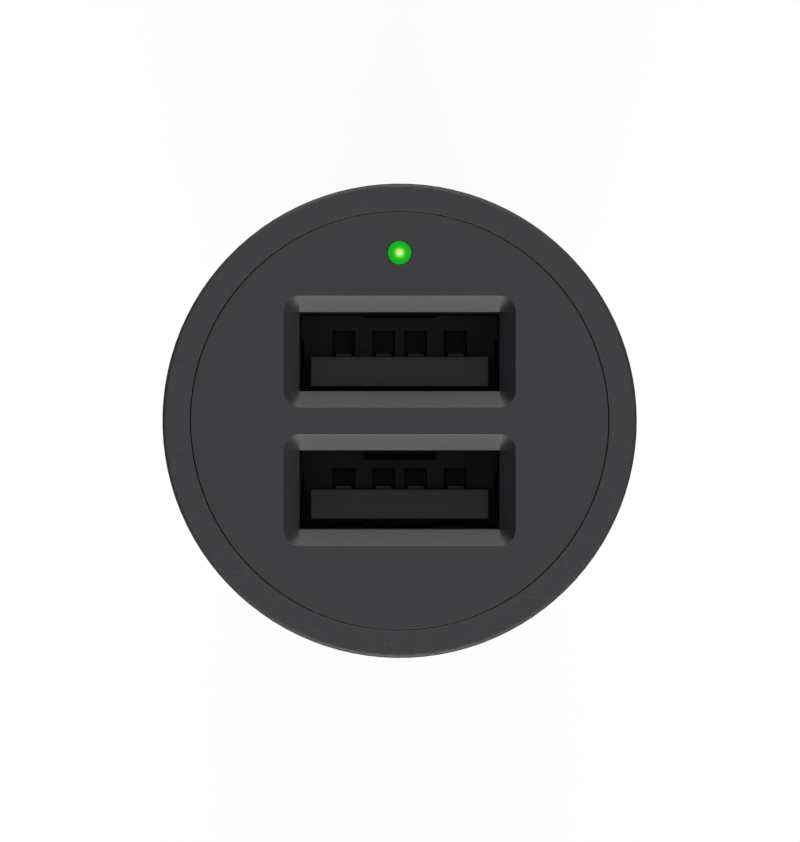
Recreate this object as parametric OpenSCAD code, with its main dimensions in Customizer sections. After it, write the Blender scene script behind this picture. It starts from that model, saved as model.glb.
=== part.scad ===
// Twin-port charger plug for a vehicle's 12 volt socket.
// Z runs along the plug, from the sprung tip (down) to the port face (up).
// The origin is on the axis, at the shoulder that seats on the socket's rim.
// Y points from the ports to the indicator light.

/* [Head] */
// Diameter of the head at the port face
head_d = 29.5; // [29:0.25:34]
// Height of the port face above the shoulder
head_len = 16; // [15:0.5:20]
// Diameter of the shoulder under the head
shoulder_d = 23.6; // [22:0.2:25]
// Height of the curve between the shoulder and the straight side
curve_h = 5.5; // [4:0.5:8]
// Radius that the straight side loses on its way down
draft = 0.4; // [0.1:0.1:0.8]
// Rounding of the outer edge of the face
rim_fillet = 0.25; // [0.1:0.05:0.6]
// Width of the rim round the faceplate
rim_w = 1.72; // [1.4:0.02:2]
// Width of the ledge that the faceplate rests on
ledge_w = 0.8; // [0.5:0.1:1]
// Thickness of the floor that carries the port board
floor_t = 2.4; // [1.6:0.2:3]

/* [Faceplate] */
// Thickness of the faceplate
plate_t = 2; // [1.6:0.1:2.6]
// Open groove between the faceplate and the rim
seam = 0.05; // [0.03:0.01:0.2]
// How far a window's side edge covers the port shell
window_lap_x = 0.035; // [0:0.005:0.1]
// How far a window's long edge covers the port shell
window_lap_y = 0.1; // [0:0.01:0.15]
// Distance between the centres of the two windows
window_pitch = 8.6; // [8.4:0.05:8.8]
// Width and depth of the bevel round a window
bevel = 1; // [0.5:0.1:1.2]
// Distance from the faceplate's edge to the middle of the indicator light
led_inset = 2.53; // [2.3:0.01:2.8]
// Diameter of the indicator light
led_d = 1.5; // [1:0.1:1.6]
// Depth of the snap hooks below the faceplate
hook_len = 4.8; // [4:0.2:5.4]
// Angle that one snap hook spans
hook_span = 20; // [14:1:24]

/* [Ports] */
// Distance between the centres of the two port shells
port_pitch = 8.26; // [8.2:0.02:8.5]
// Inner width of a port shell
shell_w = 12.5; // [12.45:0.01:12.7]
// Inner height of a port shell
shell_h = 5.12; // [5.1:0.01:5.2]
// Thickness of the port shell sheet
sheet_t = 0.3; // [0.2:0.05:0.35]
// Space between the tongue and the shell at each side
tongue_side = 0.7; // [0.6:0.02:0.8]
// Thickness of the contact tongue
tongue_t = 1.86; // [1.7:0.02:1.9]
// Space between the tongue and the shell below it
tongue_gap = 0.56; // [0.4:0.02:0.6]
// Depth of the tongue's end behind the shell's mouth
tongue_recess = 0.75; // [0.4:0.05:1.2]
// Height of the moulded block at the root of the tongue
block_h = 3.2; // [2.6:0.2:4]
// Width of a contact strip
contact_w = 1; // [0.8:0.05:1.1]
// Thickness of a contact strip
contact_t = 0.2; // [0.15:0.05:0.25]
// Height of a contact's bump over the tongue
contact_rise = 0.27; // [0.22:0.01:0.4]
// Distance from the middle to an inner contact
inner_contact_x = 1; // [0.9:0.05:1.1]
// Distance from the middle to an outer contact
outer_contact_x = 3.5; // [3.4:0.05:3.6]
// Width of the slot behind each contact
contact_slot_w = 1.37; // [1.25:0.01:1.4]
// Floor left under the slot behind each contact
contact_slot_floor = 0.8; // [0.4:0.1:2]
// Top of the upper port's contact slots over the port's centre
upper_slot_top = 1.47; // [0.8:0.01:1.8]
// Top of the lower port's contact slots over the port's centre
lower_slot_top = 1.12; // [0.8:0.01:1.8]
// How far the lower port's upper spring finger bends in
lower_finger_in = 0.87; // [0.3:0.01:1]
// How far the other spring fingers bend in
finger_in = 0.3; // [0.1:0.05:0.35]
// Width of the wide spring finger
wide_finger_w = 4.5; // [3:0.1:5]
// Width of the narrow spring fingers
finger_w = 1.8; // [1.2:0.1:2]

/* [Barrel] */
// Diameter of the locating collar below the shoulder
collar_d = 20.8; // [20.6:0.05:20.9]
// Length of the locating collar
collar_len = 6; // [4:0.5:6]
// Diameter of the barrel below the collar
barrel_d = 20.4; // [20:0.05:20.5]
// Length from the shoulder to the end of the barrel
barrel_len = 34; // [33:0.5:40]
// Wall of the barrel
barrel_wall = 1.2; // [1:0.1:1.4]
// Thickness of the wall that closes the barrel
end_wall_t = 1.2; // [1:0.1:2]

/* [Side springs] */
// Diameter over the crowns of the two free side springs
crown_d = 22.6; // [22:0.1:23]
// Width of a side spring
side_spring_w = 5; // [4:0.1:5.5]
// Thickness of a side spring
side_spring_t = 0.35; // [0.25:0.05:0.4]
// Distance from the shoulder to the top of a side spring
side_spring_top = 6.4; // [6.3:0.1:7]
// Distance from the bottom of a side spring to the end of the barrel
side_spring_foot = 1.8; // [1.7:0.1:3]
// Length of the flat end tabs of a side spring
end_tab = 1.6; // [1.2:0.1:1.8]
// Space between a side spring and the edge of its slot
slot_gap = 0.2; // [0.15:0.05:0.4]

/* [Nose] */
// Diameter of the spigot that the nose cap screws on
spigot_d = 14; // [13:0.2:15]
// Length of the spigot
spigot_len = 4.5; // [4:0.1:5]
// Bore of the spigot
spigot_bore = 10.6; // [10.2:0.1:11]
// Outer diameter of the nose cap
cap_d = 18.4; // [17.4:0.2:19]
// Length of the nose cap
cap_len = 9; // [8.4:0.1:10]
// Number of grip grooves round the nose cap
cap_grooves = 24; // [12:2:30]
// Diameter of the tip contact
tip_d = 8; // [7:0.1:8.4]
// Length of the tip contact outside the nose cap
tip_out = 4; // [3.6:0.2:5]
// Travel of the tip contact
tip_travel = 3; // [1:0.1:3.2]
// Running clearance round the tip contact
tip_clearance = 0.08; // [0.04:0.01:0.1]
// Wire of the tip spring
wire_d = 0.5; // [0.4:0.05:0.5]
// Turns of the tip spring
spring_turns = 5; // [4:0.5:5]
// Middle diameter of the tip spring
spring_d = 7; // [6.4:0.1:7.4]

/* [Boards] */
// Thickness of the round port board
port_board_t = 1.6; // [1.2:0.2:1.8]
// Thickness of the long converter board
main_board_t = 1.2; // [1:0.2:1.6]
// Diameter of the inductor core
inductor_d = 9; // [8:0.5:10]
// Height of the inductor on the board
inductor_h = 4.8; // [4:0.2:5]
// Diameter of an electrolytic capacitor can
can_d = 6.3; // [5:0.1:6.3]
// Space between the top of an electrolytic capacitor and the bore of the barrel
can_room = 3; // [3:0.1:3.8]

/* [Hidden] */
$fn = 96;

// Clearances: a slip fit, the gap at a face that only comes close, and a cut's overrun
slip = 0.1;
near = 0.05;
over = 0.5;

head_r = head_d / 2;
recess_r = head_r - rim_w;
cavity_r = recess_r - ledge_w;
plate_r = recess_r - seam;
plate_z = head_len - plate_t;
led_y = plate_r - led_inset;
window_w = shell_w - 2 * window_lap_x;
window_h = shell_h - 2 * window_lap_y;
side_r = head_r - draft;
curve_a = 2 * atan((side_r - shoulder_d / 2) / curve_h);
curve_r = curve_h / sin(curve_a);
bore_r = barrel_d / 2 - barrel_wall;
end_z = -barrel_len;
chamfer = 0.6;

// Snap hooks under the faceplate and the groove that they catch in
hook_count = 6;
hook_t = 0.9;
hook_r = cavity_r - 0.3;
hook_catch = 0.35;
hook_catch_h = 0.8;
groove_depth = 0.5;
hook_z = plate_z - hook_len;

// Ports, measured from the top of the port board
board_z = floor_t + port_board_t;
port_len = plate_z - slip - board_z;
tongue_w = shell_w - 2 * tongue_side;
tongue_bottom = -shell_h / 2 + tongue_gap;
tongue_top = tongue_bottom + tongue_t;
tongue_tip = port_len - tongue_recess;
contact_x = [-outer_contact_x, -inner_contact_x, inner_contact_x, outer_contact_x];
pin_out = 0.8;
leg_w = 2;
corner_r = 0.3;
collar_wall = 0.8;
collar_h = 1.5;

// Indicator light
pipe_flange_r = led_d / 2 + 0.35;
pipe_flange_h = 1.2;
pipe_rod_r = led_d / 2 + 0.15;
boss_wall = 0.7;
led_chip_size = [1.6, 0.8, 0.8];

// Side springs
tab_face_r = sqrt(bore_r * bore_r - side_spring_w * side_spring_w / 4) - near;
tab_r = tab_face_r - side_spring_t / 2;
bow_len = barrel_len - side_spring_top - 2 * end_tab - side_spring_foot;
bow_mid = side_spring_top + end_tab + bow_len / 2;
bow_rise = crown_d / 2 - side_spring_t / 2 - tab_r;
bow_r = (bow_len * bow_len / 4 + bow_rise * bow_rise) / (2 * bow_rise);
bow_a = asin(bow_len / 2 / bow_r);
slot_top = side_spring_top + end_tab - slot_gap;
slot_len = bow_len + 2 * slot_gap;

// Nose
seat_t = 0.5;
seat_r = 4.6;
cap_lip = 1.5;
flange_t = 1;
flange_r = spigot_bore / 2 - 0.4;
spigot_end = end_z - spigot_len;
cap_end = end_z - cap_len;
tip_seat_z = cap_end + cap_lip;
seat_z = end_z - seat_t;
spring_len = seat_z - tip_seat_z - flange_t;
stem_len = spring_len - tip_travel - 0.4;
tail_w = 2;
tail_t = 0.4;
tail_up = 3;
spigot_lead = 0.4;

// Converter board
board_half = bore_r - 0.4;
board_floor = end_z + end_wall_t;
rail_t = 0.8;
rail_depth = 1.2;
rail_top = -2;
rail_x = bore_r - rail_depth / 2 + over / 2;
tab_w = 3;
tab_x = 5;
tab_out = 0.4;
face_y = main_board_t / 2;

// Points of an arc round a centre, from one angle to another
function arc(centre, r, from, to, steps) =
    [for (i = [0:steps]) let (a = from + (to - from) * i / steps) centre + r * [cos(a), sin(a)]];

// Offset of a bent strip's side at one point of its middle line
function unit(v) = v / norm(v);
function left_of(v) = [-v[1], v[0]];
function side_at(path, i) =
    let (last = len(path) - 1)
    let (a = left_of(unit(path[min(i + 1, last)] - path[min(i, last - 1)])))
    let (b = left_of(unit(path[max(i, 1)] - path[max(i - 1, 0)])))
    (a + b) / (1 + a * b);

// A strip of sheet metal, bent along a path and w wide
module strip(path, t, w) {
    last = len(path) - 1;
    one_side = [for (i = [0:last]) path[i] + side_at(path, i) * t / 2];
    other_side = [for (i = [0:last]) path[last - i] - side_at(path, last - i) * t / 2];
    translate([0, 0, -w / 2]) linear_extrude(w) polygon(concat(one_side, other_side));
}

// The same strip with its path given as [y, z] points and its width along X
module strip_yz(path, t, w) {
    rotate([90, 0, 90]) strip(path, t, w);
}

// A block centred on X and Y, standing on its base
module block(size) {
    translate([-size[0] / 2, -size[1] / 2, 0]) cube(size);
}

module rounded_rect(w, h, r) {
    square([w - 2 * r, h], center = true);
    square([w, h - 2 * r], center = true);
    for (x = [-1, 1], y = [-1, 1])
        translate([x * (w / 2 - r), y * (h / 2 - r)]) circle(r, $fn = 32);
}

// Half section of the moulded shell, outside first and then inside
module shell_section() {
    groove_z = hook_z - slip;
    groove_top = groove_z + hook_catch_h + 2 * slip;
    groove_r = cavity_r + groove_depth;
    tail_hole = tail_w / 2 + 4 * slip;
    polygon(concat(
        [[recess_r, head_len]],
        arc([head_r - rim_fillet, head_len - rim_fillet], rim_fillet, 90, 0, 6),
        arc([side_r - curve_r, curve_h], curve_r, 0, -curve_a, 14),
        [[collar_d / 2, 0], [collar_d / 2, -collar_len], [barrel_d / 2, -collar_len - 0.2]],
        [[barrel_d / 2, end_z + chamfer], [barrel_d / 2 - chamfer, end_z], [spigot_d / 2, end_z]],
        [[spigot_d / 2, spigot_end + spigot_lead], [spigot_d / 2 - spigot_lead, spigot_end]],
        [[spigot_bore / 2, spigot_end], [spigot_bore / 2, end_z]],
        [[tail_hole, end_z], [tail_hole, board_floor]],
        [[bore_r, board_floor], [bore_r, floor_t], [cavity_r, floor_t], [cavity_r, groove_z]],
        [[groove_r, groove_z], [groove_r, groove_top], [cavity_r, groove_top + groove_depth]],
        [[cavity_r, plate_z], [recess_r, plate_z]]));
}

module body_shell() {
    color("#3f3f41")
    difference() {
        union() {
            rotate_extrude() shell_section();
            intersection() {
                for (x = [-1, 1], y = [-1, 1])
                    translate([x * rail_x, y * (face_y + slip + rail_t / 2), board_floor - over])
                        block([rail_depth + over, rail_t, rail_top - board_floor + over]);
                translate([0, 0, end_z]) cylinder(h = barrel_len, r = barrel_d / 2 - 0.3);
            }
        }
        for (y = [-1, 1])
            translate([0, y * (barrel_d / 2), -slot_top - slot_len])
                block([side_spring_w + 2 * slot_gap, 4 * barrel_wall, slot_len]);
    }
}

// Wedge that bevels two opposite edges of a window: w apart, and long along Y
module bevel_wedge(w, long) {
    top = w / 2 + bevel + over;
    rotate([90, 0, 0]) translate([0, 0, -long / 2]) linear_extrude(long)
        polygon([[-w / 2, -bevel], [w / 2, -bevel], [top, over], [-top, over]]);
}

// Opening of a port: straight sides, then a bevel with round corners out to the face
module window_cut() {
    top = bevel + over;
    translate([0, 0, -plate_t - over]) block([window_w, window_h, plate_t + 2 * over]);
    bevel_wedge(window_w, window_h);
    rotate([0, 0, 90]) bevel_wedge(window_h, window_w);
    for (x = [-1, 1], y = [-1, 1])
        translate([x * window_w / 2, y * window_h / 2, -bevel]) cylinder(h = top, r1 = 0, r2 = top);
}

module snap_hook() {
    catch_z = hook_z + hook_catch_h;
    catch_r = cavity_r + hook_catch;
    rotate([0, 0, -hook_span / 2]) rotate_extrude(angle = hook_span)
        polygon([
            [hook_r - hook_t, plate_z + over], [hook_r, plate_z + over], [hook_r, catch_z + hook_catch],
            [catch_r, catch_z], [catch_r, hook_z + 0.3], [hook_r, hook_z], [hook_r - hook_t, hook_z]]);
}

module faceplate() {
    pocket = [shell_w + 2 * sheet_t + 2 * slip, shell_h + 2 * sheet_t + 2 * slip];
    boss_r = pipe_flange_r + slip + boss_wall;
    boss_z = plate_z - pipe_flange_h;
    collar = [pocket[0] + 2 * collar_wall, port_pitch + pocket[1] + 2 * collar_wall, collar_h + over];
    color("#3e3d40")
    difference() {
        union() {
            translate([0, 0, plate_z]) cylinder(h = plate_t, r = plate_r);
            for (i = [0:hook_count - 1]) rotate([0, 0, 360 * i / hook_count]) snap_hook();
            translate([0, 0, plate_z - collar_h]) block(collar);
            translate([0, led_y, boss_z]) cylinder(h = pipe_flange_h + over, r = boss_r);
        }
        for (y = [-1, 1]) {
            translate([0, y * window_pitch / 2, head_len]) window_cut();
            translate([0, y * port_pitch / 2, plate_z - collar_h - over])
                block([pocket[0], pocket[1], collar_h + over]);
        }
        translate([0, led_y, plate_z - over]) cylinder(h = plate_t + 2 * over, r = led_d / 2 + near);
        translate([0, led_y, boss_z - over]) cylinder(h = pipe_flange_h + over, r = pipe_flange_r + slip);
        difference() {
            translate([0, 0, boss_z - over]) cylinder(h = pipe_flange_h + over, r = head_r);
            translate([0, 0, boss_z - 2 * over]) cylinder(h = pipe_flange_h + 3 * over, r = hook_r);
        }
    }
}

module light_pipe() {
    foot = board_z + led_chip_size[2] + slip;
    color("#18b020")
    translate([0, led_y, 0]) {
        translate([0, 0, foot]) cylinder(h = plate_z - pipe_flange_h - foot, r = pipe_rod_r);
        translate([0, 0, plate_z - pipe_flange_h]) cylinder(h = pipe_flange_h, r = pipe_flange_r);
        translate([0, 0, plate_z]) cylinder(h = plate_t, r = led_d / 2);
    }
}

module led_chip() {
    color("#e8e4c0") translate([0, led_y, board_z]) block(led_chip_size);
}

// A window in a shell wall with a sprung finger bent in from its lower edge.
// The wall is the one at +Y, at the given distance from the middle.
module finger_window(wall_y, w) {
    translate([0, wall_y, finger_root()]) block([w + 0.6, 4 * sheet_t, finger_len() + 0.4]);
}

module finger(wall_y, w, bend) {
    mid = wall_y + sheet_t / 2;
    root = finger_root();
    top = root + finger_len();
    strip_yz([
        [mid, root - 0.6], [mid, root + 0.5], [mid - bend * 0.5, root + finger_len() * 0.45],
        [mid - bend, top - 1.1], [mid - bend, top - 0.7], [mid - bend * 0.45, top]], sheet_t, w);
}

function finger_root() = block_h + 0.7;
function finger_len() = port_len - finger_root() - 1.6;

// Stamped steel shell of one port: a folded tube with sprung fingers and board legs
module port_shell(upper_in) {
    half_w = shell_w / 2;
    half_h = shell_h / 2;
    out_w = shell_w + 2 * sheet_t;
    out_h = shell_h + 2 * sheet_t;
    narrow_x = shell_w / 4;
    color("#8a8b8e") {
        difference() {
            linear_extrude(port_len) difference() {
                rounded_rect(out_w, out_h, corner_r + sheet_t);
                rounded_rect(shell_w, shell_h, corner_r);
            }
            finger_window(half_h, wide_finger_w);
            for (x = [-1, 1]) {
                translate([x * narrow_x, 0, 0]) rotate([0, 0, 180]) finger_window(half_h, finger_w);
                rotate([0, 0, -90 * x]) finger_window(half_w, finger_w);
            }
        }
        finger(half_h, wide_finger_w, upper_in);
        for (x = [-1, 1]) {
            translate([x * narrow_x, 0, 0]) rotate([0, 0, 180]) finger(half_h, finger_w, finger_in);
            rotate([0, 0, -90 * x]) finger(half_w, finger_w, finger_in);
            translate([x * (half_w + sheet_t / 2), 0, -port_board_t - pin_out])
                block([sheet_t, leg_w, port_board_t + pin_out + over]);
        }
    }
}

// Moulded block and tongue of one port, with a slot behind each contact
module port_insulator(slot_top_y) {
    color("#29282b")
    difference() {
        union() {
            linear_extrude(block_h) rounded_rect(shell_w - 2 * near, shell_h - 2 * near, corner_r);
            translate([0, tongue_bottom + tongue_t / 2, 0]) block([tongue_w, tongue_t, tongue_tip]);
        }
        for (x = contact_x) {
            translate([x, (tongue_top + slot_top_y) / 2, contact_slot_floor])
                block([contact_slot_w, slot_top_y - tongue_top, block_h]);
            translate([x, tongue_top + (contact_t + near) / 2, -over])
                block([contact_w + 2 * near, contact_t + near, block_h]);
        }
    }
}

// A contact strip: flat on the tongue, with a bump near its end and a pin through the board
module port_contact(place) {
    flat_y = tongue_top + contact_t / 2;
    crest_y = tongue_top + contact_rise - contact_t / 2;
    color("#b9bab9")
    translate([contact_x[place - 1], 0, 0]) strip_yz([
        [flat_y, -port_board_t - pin_out], [flat_y, block_h + 0.8], [crest_y, tongue_tip - 1.9],
        [crest_y, tongue_tip - 1.2], [flat_y, tongue_tip - 0.5]], contact_t, contact_w);
}

module at_upper_port() {
    translate([0, port_pitch / 2, board_z]) children();
}

module at_lower_port() {
    translate([0, -port_pitch / 2, board_z]) children();
}

// Round board that both ports stand on
module port_board() {
    color("#1d5b38")
    difference() {
        translate([0, 0, floor_t]) cylinder(h = port_board_t, r = cavity_r - 0.2);
        for (y = [-1, 1]) {
            for (x = contact_x)
                translate([x, y * port_pitch / 2 + tongue_top + contact_t / 2, floor_t - over])
                    block([contact_w + 2 * slip, contact_t + 2 * slip, port_board_t + 2 * over]);
            for (x = [-1, 1])
                translate([x * (shell_w + sheet_t) / 2, y * port_pitch / 2, floor_t - over])
                    block([sheet_t + 2 * slip, leg_w + 2 * slip, port_board_t + 2 * over]);
        }
        for (x = [-1, 1])
            translate([x * tab_x, 0, floor_t - over])
                block([tab_w + 2 * slip, main_board_t + 2 * slip, port_board_t + 2 * over]);
    }
}

// Long board down the barrel, with two tabs up into the round board
module main_board() {
    color("#1d5b38") {
        translate([0, 0, board_floor]) block([2 * board_half, main_board_t, -board_floor + floor_t]);
        for (x = [-1, 1])
            translate([x * tab_x, 0, floor_t - over])
                block([tab_w, main_board_t, port_board_t + over + tab_out]);
    }
}

// A part that stands on the converter board: side 1 is its +Y face and -1 the other
module on_board(side, x, z) {
    translate([x, side * face_y, z]) rotate([-90 * side, 0, 0]) children();
}

inductor_z = -8.2;
chip_z = -16.2;
diode_z = -22;
output_z = -6.5;
input_z = -14.5;
fuse_z = -21;
flange_h = 1;

module inductor_core() {
    color("#35363a")
    on_board(1, 0, inductor_z) {
        cylinder(h = flange_h, r = inductor_d / 2);
        cylinder(h = inductor_h, r = inductor_d / 5);
        translate([0, 0, inductor_h - flange_h]) cylinder(h = flange_h, r = inductor_d / 2);
    }
}

module inductor_winding() {
    turn = 0.6;
    room = inductor_h - 2 * flange_h;
    rows = floor(room / turn);
    color("#b5682f")
    on_board(1, 0, inductor_z)
        difference() {
            union() {
                translate([0, 0, flange_h + near]) cylinder(h = room - 2 * near, r = inductor_d / 2 - 1);
                for (i = [0:rows - 1])
                    translate([0, 0, flange_h + (i + 0.5) * room / rows]) rotate_extrude()
                        translate([inductor_d / 2 - 1, 0]) circle(turn / 2 - near, $fn = 16);
            }
            translate([0, 0, flange_h - over]) cylinder(h = inductor_h, r = inductor_d / 5 + near);
        }
}

can_base_h = 0.6;
can_h = bore_r - face_y - can_room;

module capacitor_can() {
    r = can_d / 2;
    h = can_h - can_base_h;
    rotate_extrude() polygon([
        [0, can_base_h], [r, can_base_h], [r, can_base_h + 0.8], [r - 0.25, can_base_h + 1],
        [r, can_base_h + 1.2], [r, can_base_h + h - 0.3], [r - 0.3, can_base_h + h], [0, can_base_h + h]]);
}

module input_capacitor() {
    color("#c4c6c8") on_board(-1, 0, input_z) capacitor_can();
}

module output_capacitor() {
    color("#c4c6c8") on_board(-1, 0, output_z) capacitor_can();
}

module capacitor_bases() {
    color("#1c1c1e")
    for (z = [input_z, output_z])
        on_board(-1, 0, z) block([can_d + 0.3, can_d + 0.3, can_base_h]);
}

// Eight-lead converter chip, with the leads bent down to the board
chip_size = [4.9, 3.9, 1.5];
chip_gap = 0.1;
lead_pitch = 1.27;
lead_w = 0.42;
lead_t = 0.2;
lead_reach = 1.1;

module converter_chip() {
    lead_y = chip_gap + chip_size[2] / 2;
    color("#232325")
    on_board(1, 0, chip_z) {
        translate([0, 0, chip_gap]) block(chip_size);
        for (i = [-1.5:1.5], side = [-1, 1])
            translate([i * lead_pitch, side * chip_size[1] / 2, 0])
                rotate([0, 0, side * 90 - 90]) rotate([90, 0, 90])
                    strip([[-lead_t, lead_y], [lead_reach * 0.4, lead_y], [lead_reach * 0.6, lead_t / 2],
                        [lead_reach, lead_t / 2]], lead_t, lead_w);
    }
}

// Body and end terminals of the diode and of the fuse
diode_size = [4.3, 2.6, 2.1];
diode_end = [1, 1.5, 0.4];
diode_gap = 0.15;
fuse_size = [4.5, 3.2, 0.9];
fuse_end = [0.7, 3.3, 1];

module rectifier_diode() {
    color("#2a2a2c")
    on_board(1, 0, diode_z) {
        translate([0, 0, diode_gap]) block(diode_size);
        for (x = [-1, 1]) translate([x * diode_size[0] / 2, 0, 0]) block(diode_end);
    }
}

module fuse() {
    color("#3d7a4a")
    on_board(-1, 0, fuse_z) {
        block(fuse_size);
        for (x = [-1, 1]) translate([x * (fuse_size[0] - fuse_end[0] / 2) / 2, 0, 0]) block(fuse_end);
    }
}

// Rows of small parts beside the large ones, on the board's two faces
small_size = [2, 1.25, 1];
small_pitch = 3.2;
small_x = board_half - small_size[0] / 2 - 1.3;

module small_part(h) {
    block([small_size[0], small_size[1], h]);
}

module chip_capacitors() {
    color("#b08c5a")
    for (i = [0:2], x = [-1, 1])
        on_board(1, x * small_x, chip_z + 1 - i * small_pitch) small_part(small_size[2]);
}

module chip_resistors() {
    color("#1a1a1c")
    for (i = [0:2], x = [-1, 1])
        on_board(-1, x * small_x, input_z - 2 - i * small_pitch) small_part(small_size[2] / 2);
}

// Bowed leaf in a slot of the barrel, its end tabs behind the slot's ends
module ground_spring() {
    bow_centre = [crown_d / 2 - side_spring_t / 2 - bow_r, -bow_mid];
    color("#b9babd")
    strip_yz(concat(
        [[tab_r, -side_spring_top]],
        arc(bow_centre, bow_r, bow_a, -bow_a, 24),
        [[tab_r, -bow_mid - bow_len / 2 - end_tab]]), side_spring_t, side_spring_w);
}

// Bracket on the converter board that the leaf's upper tab bears on
terminal_t = 0.4;
terminal_w = 2.4;
terminal_foot = 1.4;
terminal_rise = 3.6;

module ground_terminal() {
    foot_y = face_y + terminal_t / 2;
    reach = tab_r - side_spring_t / 2 - slip - terminal_t / 2;
    foot_z = -side_spring_top + terminal_rise;
    color("#c2a25e")
    strip_yz([
        [foot_y, foot_z + terminal_foot], [foot_y, foot_z], [reach, foot_z],
        [reach, -side_spring_top - 3 * slip]], terminal_t, terminal_w);
}

module nose_cap() {
    r = cap_d / 2;
    fit_r = spigot_d / 2 + slip;
    pocket_r = flange_r + 2 * slip;
    hole_r = tip_d / 2 + tip_clearance;
    groove_r = 0.5;
    color("#38383a")
    difference() {
        rotate_extrude() polygon(concat(
            [[fit_r, end_z - near], [r - 0.2, end_z - near], [r, end_z - 0.3], [r, end_z - cap_len * 0.5]],
            [[r - 0.6, end_z - cap_len * 0.6]],
            arc([tip_d / 2 + 2.2, cap_end + 1], 1, 0, -90, 6),
            [[hole_r, cap_end], [hole_r, tip_seat_z], [pocket_r, tip_seat_z]],
            [[pocket_r, spigot_end - near], [fit_r, spigot_end - near]]));
        for (i = [0:cap_grooves - 1])
            rotate([0, 0, 360 * i / cap_grooves]) translate([r + groove_r * 0.3, 0, end_z - cap_len * 0.48])
                cylinder(h = cap_len * 0.42, r = groove_r, $fn = 16);
    }
}

module tip_contact() {
    tip_end = cap_end - tip_out;
    r = tip_d / 2;
    nose_r = min(0.8 * r, tip_out - 0.6);
    top = tip_seat_z + flange_t;
    stem_r = spring_d / 2 - wire_d - 3 * slip;
    color("#c8c9cb")
    rotate_extrude() polygon(concat(
        [[0, top + stem_len], [stem_r - 2 * slip, top + stem_len], [stem_r, top], [flange_r, top]],
        [[flange_r, tip_seat_z], [r, tip_seat_z]],
        arc([r - nose_r, tip_end + nose_r], nose_r, 0, -90, 10),
        [[0, tip_end]]));
}

// Coil spring swept round its axis, with flat turns at both ends
spring_steps = 16;
spring_sides = 8;
flat_share = 0.12;
function spring_rise(u) = min(1, max(0, (u - flat_share) / (1 - 2 * flat_share)));
function spring_height(u) = wire_d / 2 + (spring_len - wire_d) * spring_rise(u);
function spring_ring(u) =
    let (a = 360 * spring_turns * u)
    [for (k = [0:spring_sides - 1])
        let (s = 360 * k / spring_sides)
        let (r = spring_d / 2 + wire_d / 2 * cos(s))
        [r * cos(a), r * sin(a), tip_seat_z + flange_t + spring_height(u) + wire_d / 2 * sin(s)]];

module tip_spring() {
    rings = spring_steps * spring_turns;
    n = spring_sides;
    points = [for (i = [0:rings]) each spring_ring(i / rings)];
    walls = [for (i = [0:rings - 1], k = [0:n - 1])
        [i * n + k, i * n + (k + 1) % n, (i + 1) * n + (k + 1) % n, (i + 1) * n + k]];
    ends = [[for (k = [0:n - 1]) n - 1 - k], [for (k = [0:n - 1]) rings * n + k]];
    color("#a9abae") polyhedron(points, concat(walls, ends), convexity = 8);
}

// Disc that the tip spring bears on, with a tail through the end wall to the board
module spring_seat() {
    color("#c2a25e") {
        translate([0, 0, seat_z]) cylinder(h = seat_t, r = seat_r);
        translate([0, face_y + tail_t / 2, seat_z]) block([tail_w, tail_t, seat_t + end_wall_t + tail_up]);
    }
}

body_shell();
faceplate();
light_pipe();
led_chip();
at_upper_port() port_shell(finger_in);  // upper_port_shell
at_lower_port() port_shell(lower_finger_in);  // lower_port_shell
at_upper_port() port_insulator(upper_slot_top);  // upper_port_insulator
at_lower_port() port_insulator(lower_slot_top);  // lower_port_insulator
at_upper_port() port_contact(1);  // upper_port_contact_1
at_upper_port() port_contact(2);  // upper_port_contact_2
at_upper_port() port_contact(3);  // upper_port_contact_3
at_upper_port() port_contact(4);  // upper_port_contact_4
at_lower_port() port_contact(1);  // lower_port_contact_1
at_lower_port() port_contact(2);  // lower_port_contact_2
at_lower_port() port_contact(3);  // lower_port_contact_3
at_lower_port() port_contact(4);  // lower_port_contact_4
port_board();
main_board();
inductor_core();
inductor_winding();
input_capacitor();
output_capacitor();
capacitor_bases();
converter_chip();
rectifier_diode();
fuse();
chip_capacitors();
chip_resistors();
ground_spring();  // upper_ground_spring
rotate([0, 0, 180]) ground_spring();  // lower_ground_spring
ground_terminal();  // upper_ground_terminal
rotate([0, 0, 180]) ground_terminal();  // lower_ground_terminal
nose_cap();
tip_contact();
tip_spring();
spring_seat();
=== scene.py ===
# %% [markdown]
# # Dressing a charger plug for a vehicle's 12 volt socket
# The real object is a black moulded plug with two charging ports and a green light in its face.
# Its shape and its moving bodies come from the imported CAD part, which is loaded here as the frame.
# This script gives each piece the look of its real material, then sets up a small studio round it.

import math

import bmesh
import bpy
from mathutils import Matrix, Vector


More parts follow.
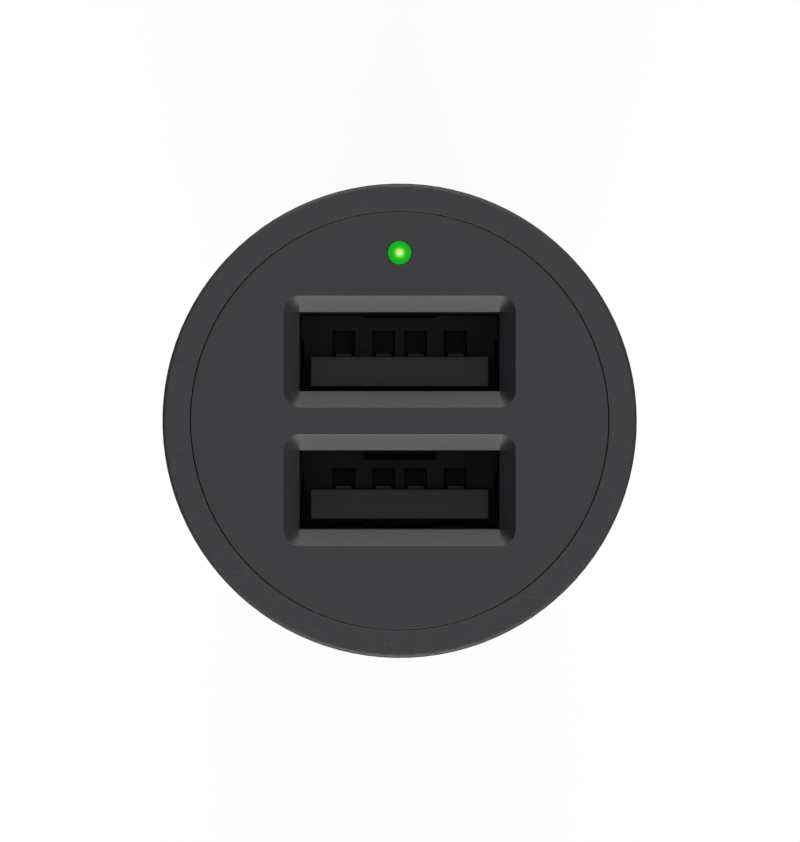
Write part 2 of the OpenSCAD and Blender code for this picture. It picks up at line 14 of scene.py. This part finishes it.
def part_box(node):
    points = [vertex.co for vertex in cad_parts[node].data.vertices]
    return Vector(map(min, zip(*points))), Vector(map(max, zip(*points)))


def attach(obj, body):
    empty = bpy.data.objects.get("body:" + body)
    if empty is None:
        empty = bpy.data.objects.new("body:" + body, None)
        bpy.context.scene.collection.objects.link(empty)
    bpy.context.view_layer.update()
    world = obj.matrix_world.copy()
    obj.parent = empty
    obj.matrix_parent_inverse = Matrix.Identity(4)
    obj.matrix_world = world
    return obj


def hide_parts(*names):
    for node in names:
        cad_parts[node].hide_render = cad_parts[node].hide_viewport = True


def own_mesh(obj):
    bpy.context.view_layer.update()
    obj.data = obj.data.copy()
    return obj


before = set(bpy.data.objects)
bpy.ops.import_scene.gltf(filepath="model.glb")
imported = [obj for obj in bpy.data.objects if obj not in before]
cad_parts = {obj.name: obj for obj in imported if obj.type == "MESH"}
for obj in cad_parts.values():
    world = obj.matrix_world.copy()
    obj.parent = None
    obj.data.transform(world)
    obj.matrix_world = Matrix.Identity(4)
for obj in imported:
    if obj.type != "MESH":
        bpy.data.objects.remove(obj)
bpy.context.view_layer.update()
MM = 0.001
FACE_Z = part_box("body_shell")[1][2]
TIP_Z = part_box("tip_contact")[0][2]
print("face and tip in mm:", round(FACE_Z / MM, 2), round(TIP_Z / MM, 2))

# %% [markdown]
# ## Colours and nodes
# A colour picked from a photograph is an sRGB value, while shaders count light, so one function turns
# the hex code into linear numbers. Materials are built from nodes, and one small helper adds a node
# with its settings, its values and the links into it.


# %% Colour and node helpers
def linear(code):
    """Linear red, green, blue and alpha of an sRGB hex code."""
    parts = [int(code[i : i + 2], 16) / 255 for i in (1, 3, 5)]
    return (*[p / 12.92 if p <= 0.04045 else ((p + 0.055) / 1.055) ** 2.4 for p in parts], 1.0)


def add(tree, kind, inputs=None, **settings):
    """Adds a node. An input takes either a plain value or the output that feeds it."""
    made = tree.nodes.new(kind)
    for name, value in settings.items():
        setattr(made, name, value)
    for name, value in (inputs or {}).items():
        if isinstance(value, bpy.types.NodeSocket):
            tree.links.new(value, made.inputs[name])
        else:
            made.inputs[name].default_value = value
    return made


def finish_named(name, **values):
    """A material with a Principled shader, and the object's own coordinates in millimetres."""
    made = bpy.data.materials.new(name)
    made.use_nodes = True
    tree = made.node_tree
    tree.nodes.clear()
    shader = add(tree, "ShaderNodeBsdfPrincipled", values)
    add(tree, "ShaderNodeOutputMaterial", {"Surface": shader.outputs[0]})
    place = add(tree, "ShaderNodeTexCoord").outputs["Object"]
    grid = add(tree, "ShaderNodeVectorMath", {0: place, "Scale": 1 / MM}, operation="SCALE")
    return made, tree, shader, grid.outputs[0]


def grain(tree, coords, size_mm, detail=2.0, rough=0.5):
    """Noise whose bumps are about size_mm across, as a value round a half."""
    return add(
        tree,
        "ShaderNodeTexNoise",
        {"Vector": coords, "Scale": 1 / size_mm, "Detail": detail, "Roughness": rough},
    ).outputs[0]


def between(tree, value, low, high):
    """Turns a noise value into a range of numbers, such as a roughness that varies."""
    return add(
        tree,
        "ShaderNodeMapRange",
        {0: value, 1: 0.25, 2: 0.75, 3: low, 4: high},
    ).outputs[0]


def bumped(tree, shader, height, depth_mm, strength=1.0):
    """Leads a height into the shader's normal, with its real depth."""
    bump = add(
        tree,
        "ShaderNodeBump",
        {"Height": height, "Distance": depth_mm * MM, "Strength": strength},
    )
    tree.links.new(bump.outputs[0], shader.inputs["Normal"])


def two_tones(tree, shader, factor, dark, light):
    """Blends two near colours by a noise value, so that no surface is one flat colour."""
    mix = add(tree, "ShaderNodeMix", {"Factor": factor}, data_type="RGBA")
    mix.inputs[6].default_value = linear(dark)
    mix.inputs[7].default_value = linear(light)
    tree.links.new(mix.outputs[2], shader.inputs["Base Color"])


# %% [markdown]
# ## Moulded plastics
# The shell is moulded ABS/PC. Its tool was spark-eroded, which leaves tiny pits that scatter the light,
# so the rim looks a little rougher and greyer than the faceplate. The faceplate came from a finely
# blasted tool and is satin. Both could be an image texture, but noise at the real size of the grain
# stays sharp at any zoom. The pits are about 0.05 mm on the real part and are drawn at 0.14 mm,
# because finer ones would melt into a flat grey at this image size.

# %% Shell, faceplate and nose cap plastics
shell_plastic, tree, shader, coords = finish_named(
    "spark_eroded_abs_pc", **{"IOR": 1.5, "Specular IOR Level": 0.42}
)
pits = grain(tree, coords, 0.14, 3.0, 0.6)
two_tones(tree, shader, pits, "#110f13", "#201e22")
cloud = grain(tree, coords, 2.6)
tree.links.new(between(tree, cloud, 0.46, 0.54), shader.inputs["Roughness"])
bumped(tree, shader, pits, 0.05)

plate_plastic, tree, shader, coords = finish_named(
    "satin_abs_pc", **{"IOR": 1.5, "Specular IOR Level": 0.47}
)
haze = grain(tree, coords, 0.09, 2.0)
two_tones(tree, shader, haze, "#131116", "#161419")
tree.links.new(between(tree, grain(tree, coords, 3.5), 0.38, 0.44), shader.inputs["Roughness"])
bumped(tree, shader, haze, 0.003)

nose_plastic, tree, shader, coords = finish_named(
    "satin_abs_nose", **{"IOR": 1.5, "Specular IOR Level": 0.5}
)
haze = grain(tree, coords, 0.12, 2.0)
two_tones(tree, shader, haze, "#131115", "#1a181c")
tree.links.new(between(tree, grain(tree, coords, 2.2), 0.42, 0.52), shader.inputs["Roughness"])
bumped(tree, shader, haze, 0.006)
print("plastics made:", shell_plastic.name, plate_plastic.name, nose_plastic.name)

# %% [markdown]
# ## Connector resin
# The blocks and tongues of the ports are black glass-filled nylon. The glass fibres lie near the
# surface and give it a dull, slightly streaky look, darker than the shell round it.

# %% Connector resin
connector_resin, tree, shader, coords = finish_named(
    "glass_filled_nylon", **{"IOR": 1.53, "Specular IOR Level": 0.28}
)
along = add(tree, "ShaderNodeMapping", {"Vector": coords, "Scale": (1.0, 1.0, 0.25)}).outputs[0]
fibres = grain(tree, along, 0.12, 3.0, 0.6)
two_tones(tree, shader, fibres, "#141316", "#18171a")
tree.links.new(between(tree, fibres, 0.52, 0.6), shader.inputs["Roughness"])
bumped(tree, shader, fibres, 0.008)
print("resin made:", connector_resin.name)

# %% [markdown]
# ## The green light
# A clear green pipe brings the light of a chip on the board up to the face. Seen from the front it has
# a bright core over the chip, a deep green body and a thin dark edge where it meets its hole. A lamp
# inside a clear pipe would be slow and noisy to render, so the shader glows by its distance from the
# pipe's axis instead.

# %% Glowing light pipe
pipe_low, pipe_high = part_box("light_pipe")
PIPE_Y = (pipe_low[1] + pipe_high[1]) / 2
LENS_R = 0.75
WAVER = 0.06
GLOW_STRENGTH = 0.95
light_green, tree, shader, coords = finish_named(
    "clear_green_polycarbonate", **{"IOR": 1.58, "Roughness": 0.3, "Specular IOR Level": 0.03}
)
shader.inputs["Base Color"].default_value = linear("#0a3d0c")
centred = add(
    tree, "ShaderNodeVectorMath", {0: coords, 1: (0.0, PIPE_Y / MM, 0.0)}, operation="SUBTRACT"
).outputs[0]
across = add(
    tree, "ShaderNodeVectorMath", {0: centred, 1: (1.0, 1.0, 0.0)}, operation="MULTIPLY"
).outputs[0]
from_axis = add(tree, "ShaderNodeVectorMath", {0: across}, operation="LENGTH").outputs["Value"]
swirl = grain(tree, coords, 0.2)
wavering = add(
    tree, "ShaderNodeMath", {0: swirl, 1: WAVER, 2: from_axis}, operation="MULTIPLY_ADD"
).outputs[0]
share = add(
    tree, "ShaderNodeMath", {0: wavering, 1: LENS_R + WAVER / 2}, operation="DIVIDE"
).outputs[0]
ramp = add(tree, "ShaderNodeValToRGB", {"Fac": share})
glow = [
    (0.0, "#daffa6"),
    (0.17, "#ccfd94"),
    (0.29, "#a6ee70"),
    (0.41, "#62d042"),
    (0.53, "#2cb71f"),
    (0.66, "#17aa15"),
    (0.82, "#14a618"),
    (0.91, "#1c9c2c"),
    (0.97, "#158022"),
    (1.0, "#0e4a16"),
]
while len(ramp.color_ramp.elements) < len(glow):
    ramp.color_ramp.elements.new(0.5)
for element, (at, code) in zip(ramp.color_ramp.elements, glow):
    element.position = at
    element.color = linear(code)
ramp.color_ramp.interpolation = "EASE"
tree.links.new(ramp.outputs[0], shader.inputs["Emission Color"])
shader.inputs["Emission Strength"].default_value = GLOW_STRENGTH
print("light pipe's axis at y =", round(PIPE_Y / MM, 2), "mm")

# %% [markdown]
# ## Metals
# The stamped port shells and the contacts are a dark grey metal with a fine rolling grain. That dark
# colour is painted shade for the deep insides of the ports. The side springs are bright nickel on
# spring steel and the tip is turned brass with nickel on it, both lighter and smoother.
# The grain is a noise that is stretched along the way that the metal was rolled or turned.


# %% Metals
def plated_metal(name, dark, light, grain_mm, stretch, rough, depth_mm):
    """A metal with a drawn-out grain. stretch squeezes the pattern along X, Y and Z."""
    made, tree, shader, coords = finish_named(name, **{"Metallic": 1.0})
    drawn = add(tree, "ShaderNodeMapping", {"Vector": coords, "Scale": stretch}).outputs[0]
    lines = grain(tree, drawn, grain_mm, 3.0, 0.55)
    two_tones(tree, shader, lines, dark, light)
    tree.links.new(between(tree, grain(tree, coords, 1.8), *rough), shader.inputs["Roughness"])
    bumped(tree, shader, lines, depth_mm)
    return made


# Port shells and contacts: their dark grey colour is painted shade for the deep insides of the ports.
shell_steel = plated_metal(
    "dark_shell_steel_with_painted_shade", "#131315", "#19191b", 0.12, (1.0, 1.0, 0.12), (0.4, 0.5), 0.003
)
contact_metal = plated_metal(
    "dark_contact_metal_with_painted_shade", "#222224", "#2a2a2c", 0.1, (1.0, 1.0, 0.1), (0.36, 0.46), 0.002
)
spring_nickel = plated_metal(
    "nickel_plated_spring_steel", "#a9a8a4", "#bab9b4", 0.12, (1.0, 1.0, 0.08), (0.28, 0.4), 0.002
)
tip_nickel = plated_metal(
    "nickel_plated_turned_brass", "#bfbfbb", "#d0d0cb", 0.1, (0.1, 0.1, 1.0), (0.16, 0.26), 0.002
)
terminal_brass = plated_metal(
    "stamped_brass", "#b0914e", "#c4a663", 0.12, (0.15, 1.0, 1.0), (0.26, 0.36), 0.002
)
can_metal = plated_metal(
    "drawn_aluminium", "#b6b8ba", "#c9cbcd", 0.1, (1.0, 0.1, 1.0), (0.24, 0.34), 0.002
)
metals = [shell_steel, contact_metal, spring_nickel, tip_nickel, terminal_brass, can_metal]
print("metals made:", ", ".join(metal.name for metal in metals))

# %% [markdown]
# ## Boards and the parts on them
# A board is green solder mask over glass cloth and copper. The mask is a thin gloss lacquer: where
# copper lies under it, it looks lighter and stands a little proud. A brick pattern with wide joints
# draws those tracks. The parts on the boards are moulded epoxy, sintered ferrite and ceramic, lacquered
# copper wire and a green dipped fuse.

# %% Board and component finishes
board_green, tree, shader, coords = finish_named(
    "green_solder_mask", **{"IOR": 1.5, "Roughness": 0.28, "Coat Weight": 0.2}
)
tracks = add(
    tree,
    "ShaderNodeTexBrick",
    {"Vector": coords, "Scale": 0.35, "Mortar Size": 0.09, "Mortar Smooth": 0.3},
)
two_tones(tree, shader, tracks.outputs["Fac"], "#17472c", "#2a6a44")
bumped(tree, shader, tracks.outputs["Fac"], 0.03)


def moulded_part(name, dark, light, size_mm, rough, depth_mm, **values):
    """A dull moulded, dipped or fired component body with a fine grain."""
    made, tree, shader, coords = finish_named(name, **values)
    specks = grain(tree, coords, size_mm, 3.0, 0.6)
    two_tones(tree, shader, specks, dark, light)
    tree.links.new(between(tree, specks, *rough), shader.inputs["Roughness"])
    bumped(tree, shader, specks, depth_mm)
    return made


chip_epoxy = moulded_part("moulded_black_epoxy", "#202022", "#29292b", 0.1, (0.5, 0.62), 0.006)
ferrite_grey = moulded_part("sintered_ferrite", "#2c2d30", "#3a3b3f", 0.16, (0.62, 0.75), 0.012)
ceramic_tan = moulded_part("fired_ceramic", "#a98a5c", "#b9996a", 0.1, (0.35, 0.45), 0.004)
fuse_green = moulded_part("dipped_green_fuse", "#37704a", "#437f56", 0.2, (0.4, 0.5), 0.008)
chip_white = moulded_part("white_led_package", "#dcd8bc", "#e8e5cc", 0.12, (0.3, 0.4), 0.003)
winding_copper = plated_metal(
    "enamelled_copper", "#a8602a", "#c07637", 0.2, (1.0, 0.2, 1.0), (0.2, 0.3), 0.002
)
finishes = [board_green, chip_epoxy, ferrite_grey, ceramic_tan, fuse_green, chip_white, winding_copper]
print("board finishes made:", ", ".join(finish.name for finish in finishes))

# %% [markdown]
# ## Edges that catch the light
# No moulded or stamped edge is perfectly sharp, and the bright line along an edge tells the eye how big
# an object is. A CAD mesh has sharp edges made of loose triangles. A copy of it gets its triangles
# merged, its flat faces joined and a small Bevel, then stands for the node. Curved faces are shaded
# smooth. A flat face that runs into a curved corner is kept flat, or the corner would tint it.
# Weighted normals let the large faces set the shading at the edges they share with small ones,
# which keeps the turned head free of streaks where its long faces meet narrow ones. The corners of
# the faceplate's windows are cones of slim triangles, and there the rounded edge itself would
# brighten them. So that piece hardens its edges instead: its faces keep their own shading.


# %% Rounded copies of the CAD pieces
SAME_POINT = 0.002 * MM
SAME_PLANE = math.radians(0.4)
SLIGHT_TURN = 0.004
SHARP_TURN = 0.5
MUCH_LARGER = 3


def is_plane(face):
    """True for a face that is much larger than every face that it runs smoothly into."""
    beside = [
        other
        for edge in face.edges
        if len(edge.link_faces) == 2 and SLIGHT_TURN < edge.calc_face_angle() < SHARP_TURN
        for other in edge.link_faces
        if other != face
    ]
    return all(face.calc_area() > MUCH_LARGER * other.calc_area() for other in beside)


def merged_copy(node_name, piece_name):
    """A clean mesh object with the node's shape: doubles merged, flat faces joined."""
    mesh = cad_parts[node_name].data.copy()
    mesh.name = piece_name
    work = bmesh.new()
    work.from_mesh(mesh)
    bmesh.ops.remove_doubles(work, verts=work.verts, dist=SAME_POINT)
    bmesh.ops.dissolve_limit(work, angle_limit=SAME_PLANE, verts=work.verts, edges=work.edges)
    bmesh.ops.recalc_face_normals(work, faces=work.faces)
    for face in work.faces:
        face.smooth = not is_plane(face)
    work.to_mesh(mesh)
    work.free()
    for name in ("custom_normal", "sharp_edge"):
        if name in mesh.attributes:
            mesh.attributes.remove(mesh.attributes[name])
    made = bpy.data.objects.new(piece_name, mesh)
    bpy.context.scene.collection.objects.link(made)
    return made


def round_edges(piece, radius_mm, steps=3, sharper_than=32, harden=False):
    """Rounds the edges that turn by more than an angle, and evens the shading of the faces beside them.

    With harden, the faces beside a rounded edge keep the shading that they had before it.
    """
    bevel = piece.modifiers.new("round_edges", "BEVEL")
    bevel.width = radius_mm * MM
    bevel.segments = steps
    bevel.limit_method = "ANGLE"
    bevel.angle_limit = math.radians(sharper_than)
    bevel.use_clamp_overlap = False
    if harden:
        bevel.harden_normals = True
        return
    even = piece.modifiers.new("even_shading", "WEIGHTED_NORMAL")
    even.mode = "FACE_AREA"
    even.weight = 50
    even.keep_sharp = True


def dress(node_name, piece_name, body, slot, finish, radius_mm, **how):
    """Stands a rounded copy in for a node."""
    piece = merged_copy(node_name, piece_name)
    piece.data.materials.clear()
    piece.data.materials.append(finish)
    round_edges(piece, radius_mm, **how)
    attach(piece, body)
    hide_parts(node_name)
    return piece


dress("body_shell", "moulded_shell", "charger", "moulded_shell", shell_plastic, 0.035)
dress(
    "faceplate",
    "snap_in_faceplate",
    "charger",
    "moulded_faceplate",
    plate_plastic,
    0.02,
    harden=True,
)
dress("light_pipe", "green_light_pipe", "charger", "green_light_pipe", light_green, 0.06)
dress("nose_cap", "grooved_nose_cap", "charger", "nose_plastic", nose_plastic, 0.08)
dress("tip_contact", "turned_tip", "tip", "nickel_tip", tip_nickel, 0.06)
for port in ("upper", "lower"):
    dress(
        f"{port}_port_shell",
        f"{port}_stamped_shell",
        "charger",
        "plated_shell_steel",
        shell_steel,
        0.04,
        steps=2,
    )
    dress(
        f"{port}_port_insulator",
        f"{port}_moulded_tongue",
        "charger",
        "connector_resin",
        connector_resin,
        0.05,
    )
    dress(
        f"{port}_ground_spring",
        f"{port}_bowed_spring",
        f"{port}_side_spring",
        "nickel_spring",
        spring_nickel,
        0.05,
    )
    for place in range(1, 5):
        dress(
            f"{port}_port_contact_{place}",
            f"{port}_sprung_contact_{place}",
            "charger",
            "plated_contact",
            contact_metal,
            0.03,
            steps=2,
        )

# %% [markdown]
# ## Plain CAD pieces with real finishes
# The pieces inside the barrel keep their CAD shape. They only need the right material in the slot that
# the CAD gave them.

# %% Finishes for the pieces inside
inside = {
    "led_chip": chip_white,
    "port_board": board_green,
    "main_board": board_green,
    "inductor_core": ferrite_grey,
    "input_capacitor": can_metal,
    "output_capacitor": can_metal,
    "capacitor_bases": chip_epoxy,
    "converter_chip": chip_epoxy,
    "rectifier_diode": chip_epoxy,
    "fuse": fuse_green,
    "chip_capacitors": ceramic_tan,
    "chip_resistors": chip_epoxy,
    "upper_ground_terminal": terminal_brass,
    "lower_ground_terminal": terminal_brass,
    "spring_seat": terminal_brass,
}
for name, finish in inside.items():
    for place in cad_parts[name].material_slots:
        place.material = finish
print("finishes given to", len(inside), "pieces inside")

# %% [markdown]
# ## Coiled wire
# The tip spring and the winding of the inductor are both round wire wound on a helix. Modelling each
# turn by hand would be slow, so one Geometry Nodes tree makes a spiral curve and sweeps a circle along
# it. Its inputs are the turns, the radius, the height and the wire, so the same tree serves both.


# %% Geometry Nodes tree for coiled wire
def coil_tree(title, finish):
    """A node group that makes one coil of wire with closed ends, along +Z from the origin."""
    tree = bpy.data.node_groups.new(title, "GeometryNodeTree")
    tree.interface.new_socket("Geometry", in_out="OUTPUT", socket_type="NodeSocketGeometry")
    for name in ("Turns", "Radius", "Height", "Wire"):
        tree.interface.new_socket(name, in_out="INPUT", socket_type="NodeSocketFloat")
    start = add(tree, "NodeGroupInput")
    spiral = add(
        tree,
        "GeometryNodeCurveSpiral",
        {
            "Resolution": 40,
            "Rotations": start.outputs["Turns"],
            "Start Radius": start.outputs["Radius"],
            "End Radius": start.outputs["Radius"],
            "Height": start.outputs["Height"],
        },
    )
    thickness = add(
        tree, "ShaderNodeMath", {0: start.outputs["Wire"], 1: 0.5}, operation="MULTIPLY"
    )
    ring = add(
        tree,
        "GeometryNodeCurvePrimitiveCircle",
        {"Resolution": 14, "Radius": thickness.outputs[0]},
    )
    swept = add(
        tree,
        "GeometryNodeCurveToMesh",
        {"Curve": spiral.outputs[0], "Profile Curve": ring.outputs[0], "Fill Caps": True},
    )
    real = add(tree, "GeometryNodeRealizeInstances", {"Geometry": swept.outputs[0]})
    coated = add(tree, "GeometryNodeSetMaterial", {"Geometry": real.outputs[0], "Material": finish})
    add(tree, "NodeGroupOutput", {"Geometry": coated.outputs[0]})
    return tree


def coil(name, tree, base, turn_to, values):
    """Runs the tree once and keeps the result as a plain mesh in the part's frame."""
    holder = bpy.data.objects.new(name, bpy.data.meshes.new(name))
    bpy.context.scene.collection.objects.link(holder)
    modifier = holder.modifiers.new("coil", "NODES")
    modifier.node_group = tree
    for item in tree.interface.items_tree:
        if item.in_out == "INPUT":
            modifier[item.identifier] = values[item.name]
    shown = holder.evaluated_get(bpy.context.evaluated_depsgraph_get())
    mesh = bpy.data.meshes.new_from_object(shown)
    holder.modifiers.remove(modifier)
    mesh.transform(turn_to)
    mesh.transform(base)
    work = bmesh.new()
    work.from_mesh(mesh)
    bmesh.ops.remove_doubles(work, verts=work.verts, dist=0.001 * MM)
    bmesh.ops.recalc_face_normals(work, faces=work.faces)
    for face in work.faces:
        face.smooth = True
    work.to_mesh(mesh)
    work.free()
    mesh.set_sharp_from_angle(angle=math.radians(50))
    holder.data = mesh
    return holder


# %% [markdown]
# ## Tip spring
# The spring pushes the tip out against the socket's centre contact. Its lower end stands on the tip's
# flange and its upper end on the brass disc. Here the whole coil is carried by the tip's body, so it
# does not flatten as the tip goes in.

# %% Tip spring
spring_low, spring_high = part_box("tip_spring")
SPRING_WIRE = 0.5 * MM
SPRING_TURNS = 5.0
spring_r = (spring_high[0] - spring_low[0]) / 2 - SPRING_WIRE / 2
spring_len = spring_high[2] - spring_low[2]
tip_spring = coil(
    "coiled_tip_spring",
    coil_tree("coil_of_spring_wire", spring_nickel),
    Matrix.Translation((0, 0, spring_low[2] + SPRING_WIRE / 2)),
    Matrix.Identity(4),
    {
        "Turns": SPRING_TURNS,
        "Radius": spring_r,
        "Height": spring_len - SPRING_WIRE,
        "Wire": SPRING_WIRE,
    },
)
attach(tip_spring, "tip")
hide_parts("tip_spring")
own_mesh(tip_spring)
print("tip spring is", round(spring_len / MM, 2), "mm long")

# %% [markdown]
# ## Inductor winding
# The inductor is wound with thick enamelled copper wire between the two flanges of its ferrite core.
# Its axis stands on the board, so the same coil is turned to point along +Y. A second, inner layer
# fills the gaps between the turns as real windings do.

# %% Inductor winding
winding_low, winding_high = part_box("inductor_winding")
WINDING_WIRE = 0.52 * MM
LAYER_TURNS = (4.9, 4.4)
LAYER_DEPTHS = (0.0, WINDING_WIRE * 0.85)
winding_r = (winding_high[0] - winding_low[0]) / 2 - WINDING_WIRE / 2
winding_mid = [(a + b) / 2 for a, b in zip(winding_low, winding_high)]
winding_h = winding_high[1] - winding_low[1]
wind_tree = coil_tree("coil_of_copper_wire", winding_copper)
layers = []
for depth, turns in zip(LAYER_DEPTHS, LAYER_TURNS):
    rise = turns * WINDING_WIRE
    layers.append(
        coil(
            "winding_layer",
            wind_tree,
            Matrix.Translation((winding_mid[0], winding_mid[1] - rise / 2, winding_mid[2])),
            Matrix.Rotation(-math.pi / 2, 4, "X"),
            {
                "Turns": turns,
                "Radius": winding_r - depth,
                "Height": rise,
                "Wire": WINDING_WIRE,
            },
        )
    )
outer, inner = layers
joined = bmesh.new()
joined.from_mesh(outer.data)
joined.from_mesh(inner.data)
joined.to_mesh(outer.data)
joined.free()
bpy.data.objects.remove(inner)
outer.name = "wound_copper_wire"
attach(outer, "charger")
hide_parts("inductor_winding")
coil_h = (LAYER_TURNS[0] + 1) * WINDING_WIRE
print("winding room", round(winding_h / MM, 2), "mm for a coil of", round(coil_h / MM, 2), "mm")

# %% [markdown]
# ## Studio
# The photograph was taken straight on, from far away, so circles stay round and no side shows. The
# camera stands a metre above the face with a long lens whose field takes in 52.33 mm.

# %% Camera
CAMERA_UP = 1.0
FIELD_MM = 52.33
SENSOR = 36.0
view = bpy.data.cameras.new("long_lens")
view.sensor_width = SENSOR
view.lens = SENSOR * CAMERA_UP / (FIELD_MM * MM)
view.clip_start = 0.05
view.clip_end = 20.0
camera = bpy.data.objects.new("camera", view)
camera.location = (0.024 * MM, -0.014 * MM, FACE_Z + CAMERA_UP)
bpy.context.scene.collection.objects.link(camera)
bpy.context.scene.camera = camera
bpy.context.scene.view_settings.view_transform = "Standard"
print("lens", round(view.lens, 1), "mm")

# %% [markdown]
# ## Light
# Black plastic shows mostly what it reflects. The bevels that face down and up in the picture are
# bright and those that face left and right are dark, so there is a soft box on the -Y side, a
# weaker one on the +Y side, and a card on each X side that the plastic reflects in place of the
# white room. The +X card is pale at its foot, because the left bevels are paler than the right
# ones. A grey card under the part gives the metal something darker to show, and a third soft box
# overhead reaches into the ports. Only reflections see the cards.
# The power of a soft box is pi times its area times the brightness that it should show.


# %% Soft boxes and cards
def soft_box(name, place, aim, size, brightness):
    """A soft box at place that faces aim."""
    lamp = bpy.data.lights.new(name, "AREA")
    lamp.shape = "RECTANGLE"
    lamp.size, lamp.size_y = size
    lamp.energy = math.pi * size[0] * size[1] * brightness
    made = bpy.data.objects.new(name, lamp)
    made.location = place
    back = Vector(place) - Vector(aim)
    made.rotation_mode = "QUATERNION"
    made.rotation_quaternion = back.to_track_quat("Z", "Y")
    made.visible_camera = False
    bpy.context.scene.collection.objects.link(made)
    return made


face_centre = (0, 0, FACE_Z)
soft_box("box_below_the_picture", (0, -0.42, 0.21), face_centre, (0.36, 0.24), 10.8)
soft_box("box_above_the_picture", (0, 0.42, 0.21), face_centre, (0.36, 0.24), 7.3)
soft_box("box_overhead", (0.38, 0.08, 0.56), face_centre, (0.5, 0.5), 0.5)


def flat_panel(name, corners, finish):
    """One four-cornered sheet that belongs to the studio."""
    mesh = bpy.data.meshes.new(name)
    mesh.from_pydata(corners, [], [(0, 1, 2, 3)])
    mesh.materials.append(finish)
    made = bpy.data.objects.new(name, mesh)
    bpy.context.scene.collection.objects.link(made)
    return made


def card_finish(name, code):
    """Matt card of one plain colour."""
    made, _, shader, _ = finish_named(name, **{"Roughness": 0.9, "Specular IOR Level": 0.0})
    shade = linear(code)
    shader.inputs["Base Color"].default_value = shade
    print("card", name, "reflects", round(shade[0], 3))
    return made


CARD_X = 0.14
CARD_Y = 0.16
CARD_FOOT = TIP_Z
CARD_MIDDLE = 0.10
CARD_TOP = 0.22
cards = [
    flat_panel(
        "card_" + place,
        [(x, -CARD_Y, foot), (x, CARD_Y, foot), (x, CARD_Y, top), (x, -CARD_Y, top)],
        card_finish("felt_" + place, code),
    )
    for place, x, foot, top, code in (
        ("left", -CARD_X, CARD_FOOT, CARD_TOP, "#79797b"),
        ("right_low", CARD_X, CARD_FOOT, CARD_MIDDLE, "#e6e6e7"),
        ("right_high", CARD_X, CARD_MIDDLE, CARD_TOP, "#6a6a6c"),
    )
]
cards.append(
    flat_panel(
        "card_under",
        [
            (-CARD_X, -CARD_Y, CARD_FOOT),
            (CARD_X, -CARD_Y, CARD_FOOT),
            (CARD_X, CARD_Y, CARD_FOOT),
            (-CARD_X, CARD_Y, CARD_FOOT),
        ],
        card_finish("felt_under", "#959596"),
    )
)
for card in cards:
    card.visible_camera = False
    card.visible_diffuse = False
    card.visible_shadow = False

# %% [markdown]
# ## White background
# The background is white paper. It comes from the Light Path node: where the camera, a reflection or
# glass sees the floor or the world, they are white, while the light that they give stays soft and
# dim. Near the object the floor keeps a tenth of plain paper in it, which shows the shadow, and
# further out it fades to the white of the world, so no horizon shows.


# %% Floor and world
def seen_directly(tree):
    """1 where the camera, a reflection or a clear material looks, else 0."""
    path = add(tree, "ShaderNodeLightPath")
    first = add(
        tree,
        "ShaderNodeMath",
        {0: path.outputs["Is Camera Ray"], 1: path.outputs["Is Glossy Ray"]},
        operation="MAXIMUM",
    )
    return add(
        tree,
        "ShaderNodeMath",
        {0: first.outputs[0], 1: path.outputs["Is Transmission Ray"]},
        operation="MAXIMUM",
    ).outputs[0]


paper = bpy.data.materials.new("white_paper")
paper.use_nodes = True
tree = paper.node_tree
tree.nodes.clear()
matt = add(tree, "ShaderNodeBsdfDiffuse", {"Color": linear("#f4f4f4")})
shining = add(tree, "ShaderNodeEmission", {"Color": (1, 1, 1, 1), "Strength": 1.0})
place = add(tree, "ShaderNodeTexCoord").outputs["Object"]
away = add(tree, "ShaderNodeVectorMath", {0: place}, operation="LENGTH").outputs["Value"]
share = add(
    tree,
    "ShaderNodeMapRange",
    {"Value": away, "From Min": 0.15, "From Max": 0.6, "To Min": 0.9, "To Max": 1.0},
).outputs["Result"]
blend = add(tree, "ShaderNodeMath", {0: seen_directly(tree), 1: share}, operation="MULTIPLY")
front = add(
    tree,
    "ShaderNodeMixShader",
    {0: blend.outputs[0], 1: matt.outputs[0], 2: shining.outputs[0]},
)
clear = add(tree, "ShaderNodeBsdfTransparent")
facing = add(tree, "ShaderNodeNewGeometry")
whole = add(
    tree,
    "ShaderNodeMixShader",
    {0: facing.outputs["Backfacing"], 1: front.outputs[0], 2: clear.outputs[0]},
)
add(tree, "ShaderNodeOutputMaterial", {"Surface": whole.outputs[0]})
FLOOR_Z = TIP_Z - 0.4 * MM
FLOOR_HALF = 3
flat_panel(
    "paper_floor",
    [(x * FLOOR_HALF, y * FLOOR_HALF, FLOOR_Z) for x, y in ((-1, -1), (1, -1), (1, 1), (-1, 1))],
    paper,
)

world = bpy.data.worlds.new("white_studio")
world.use_nodes = True
tree = world.node_tree
tree.nodes.clear()
soft = add(tree, "ShaderNodeBackground", {"Color": (1, 1, 1, 1), "Strength": 0.2})
white = add(tree, "ShaderNodeBackground", {"Color": (1, 1, 1, 1), "Strength": 1.0})
mixed = add(
    tree,
    "ShaderNodeMixShader",
    {0: seen_directly(tree), 1: soft.outputs[0], 2: white.outputs[0]},
)
add(tree, "ShaderNodeOutputWorld", {"Surface": mixed.outputs[0]})
bpy.context.scene.world = world
